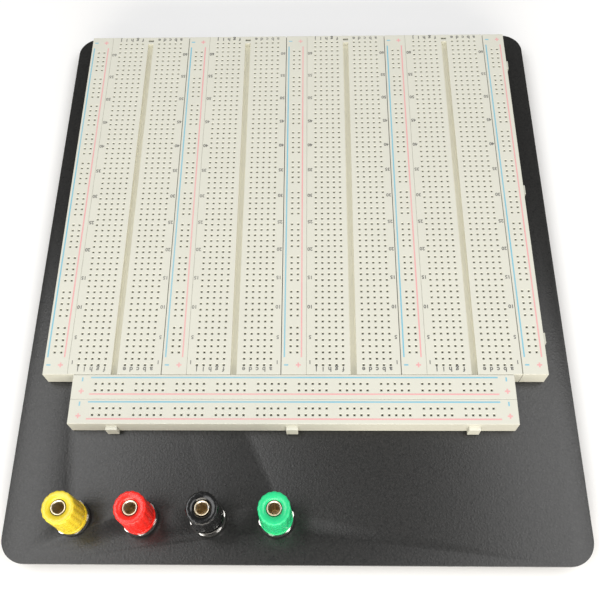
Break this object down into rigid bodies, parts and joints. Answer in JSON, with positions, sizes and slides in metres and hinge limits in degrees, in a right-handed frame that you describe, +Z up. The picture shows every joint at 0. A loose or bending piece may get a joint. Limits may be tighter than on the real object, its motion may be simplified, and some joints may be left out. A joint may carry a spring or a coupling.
{
  "type": "solderless breadboard station",
  "caption": "Solderless breadboard station: terminal and bus strips on a black metal plate with rubber feet, and a row of coloured screw-cap binding posts at the front.",
  "frame": {"origin": "on the table, under the middle of the base plate", "axes": "+X to the right with the binding posts at the front, +Y to the back along the terminal strips, +Z up"},
  "size_m": [0.209, 0.239, 0.0302],
  "materials": {
    "base_plate": "black textured powder coat on sheet metal",
    "rubber_feet": "soft black rubber",
    "strip_plastic": "cream moulded ABS, fine matt texture",
    "spring_contact": "nickel-plated spring bronze sheet",
    "foam_tape": "pale double-sided adhesive foam",
    "yellow_cap_plastic": "glossy yellow moulded plastic",
    "red_cap_plastic": "glossy red moulded plastic",
    "black_cap_plastic": "glossy black moulded plastic",
    "green_cap_plastic": "glossy green moulded plastic",
    "insulator_plastic": "black moulded insulator",
    "post_metal": "bright nickel plate on turned brass",
    "insert_brass": "turned brass",
    "tag_metal": "tinned brass sheet",
    "fastener_steel": "zinc-plated steel",
    "print_blue": "light blue pad-printed ink",
    "print_red": "light red pad-printed ink",
    "print_grey": "dark grey pad-printed ink"
  },
  "bodies": {
    "station": {"base_plate": "base_plate", "black_post_body": "post_metal", "black_post_collar": "insulator_plastic", "bus_contacts_1": "spring_contact", "bus_contacts_2": "spring_contact", "bus_contacts_3": "spring_contact", "bus_contacts_4": "spring_contact", "bus_contacts_5": "spring_contact", "bus_foam_1": "foam_tape", "bus_foam_2": "foam_tape", "bus_foam_3": "foam_tape", "bus_foam_4": "foam_tape", "bus_foam_5": "foam_tape", "bus_strip_1": "strip_plastic", "bus_strip_2": "strip_plastic", "bus_strip_3": "strip_plastic", "bus_strip_4": "strip_plastic", "bus_strip_5": "strip_plastic", "cross_bus_contacts_front": "spring_contact", "cross_bus_contacts_rear": "spring_contact", "cross_bus_foam_front": "foam_tape", "cross_bus_foam_rear": "foam_tape", "cross_bus_strip_front": "strip_plastic", "cross_bus_strip_rear": "strip_plastic", "green_post_body": "post_metal", "green_post_collar": "insulator_plastic", "lock_washers": "fastener_steel", "lower_insulators": "insulator_plastic", "post_nuts": "fastener_steel", "red_post_body": "post_metal", "red_post_collar": "insulator_plastic", "rubber_feet": "rubber_feet", "solder_tags": "tag_metal", "terminal_contacts_1": "spring_contact", "terminal_contacts_2": "spring_contact", "terminal_contacts_3": "spring_contact", "terminal_contacts_4": "spring_contact", "terminal_foam_1": "foam_tape", "terminal_foam_2": "foam_tape", "terminal_foam_3": "foam_tape", "terminal_foam_4": "foam_tape", "terminal_strip_1": "strip_plastic", "terminal_strip_2": "strip_plastic", "terminal_strip_3": "strip_plastic", "terminal_strip_4": "strip_plastic", "yellow_post_body": "post_metal", "yellow_post_collar": "insulator_plastic"},
    "yellow_clamp": {"yellow_post_clamp_washer": "post_metal"},
    "yellow_cap": {"yellow_post_cap": "yellow_cap_plastic", "yellow_post_insert": "insert_brass"},
    "red_clamp": {"red_post_clamp_washer": "post_metal"},
    "red_cap": {"red_post_cap": "red_cap_plastic", "red_post_insert": "insert_brass"},
    "black_clamp": {"black_post_clamp_washer": "post_metal"},
    "black_cap": {"black_post_cap": "black_cap_plastic", "black_post_insert": "insert_brass"},
    "green_clamp": {"green_post_clamp_washer": "post_metal"},
    "green_cap": {"green_post_cap": "green_cap_plastic", "green_post_insert": "insert_brass"}
  },
  "joints": [
    {"name": "yellow_cap_lift", "type": "slide", "parent": "station", "child": "yellow_clamp", "axis": [0, 0, 1], "range_m": [0, 0.0056]},
    {"name": "yellow_cap_turn", "type": "hinge", "parent": "yellow_clamp", "child": "yellow_cap", "pos_m": [-0.0797, -0.1041, 0.0217], "axis": [0, 0, 1], "range_deg": [0, 2592]},
    {"name": "red_cap_lift", "type": "slide", "parent": "station", "child": "red_clamp", "axis": [0, 0, 1], "range_m": [0, 0.0056]},
    {"name": "red_cap_turn", "type": "hinge", "parent": "red_clamp", "child": "red_cap", "pos_m": [-0.05535, -0.1041, 0.0217], "axis": [0, 0, 1], "range_deg": [0, 2592]},
    {"name": "black_cap_lift", "type": "slide", "parent": "station", "child": "black_clamp", "axis": [0, 0, 1], "range_m": [0, 0.0056]},
    {"name": "black_cap_turn", "type": "hinge", "parent": "black_clamp", "child": "black_cap", "pos_m": [-0.031, -0.1041, 0.0217], "axis": [0, 0, 1], "range_deg": [0, 2592]},
    {"name": "green_cap_lift", "type": "slide", "parent": "station", "child": "green_clamp", "axis": [0, 0, 1], "range_m": [0, 0.0056]},
    {"name": "green_cap_turn", "type": "hinge", "parent": "green_clamp", "child": "green_cap", "pos_m": [-0.00665, -0.1041, 0.0217], "axis": [0, 0, 1], "range_deg": [0, 2592]}
  ],
  "couplings": [
    {"joint": "yellow_cap_turn", "follows": "yellow_cap_lift", "rad_per_m": 7854},
    {"joint": "red_cap_turn", "follows": "red_cap_lift", "rad_per_m": 7854},
    {"joint": "black_cap_turn", "follows": "black_cap_lift", "rad_per_m": 7854},
    {"joint": "green_cap_turn", "follows": "green_cap_lift", "rad_per_m": 7854}
  ]
}
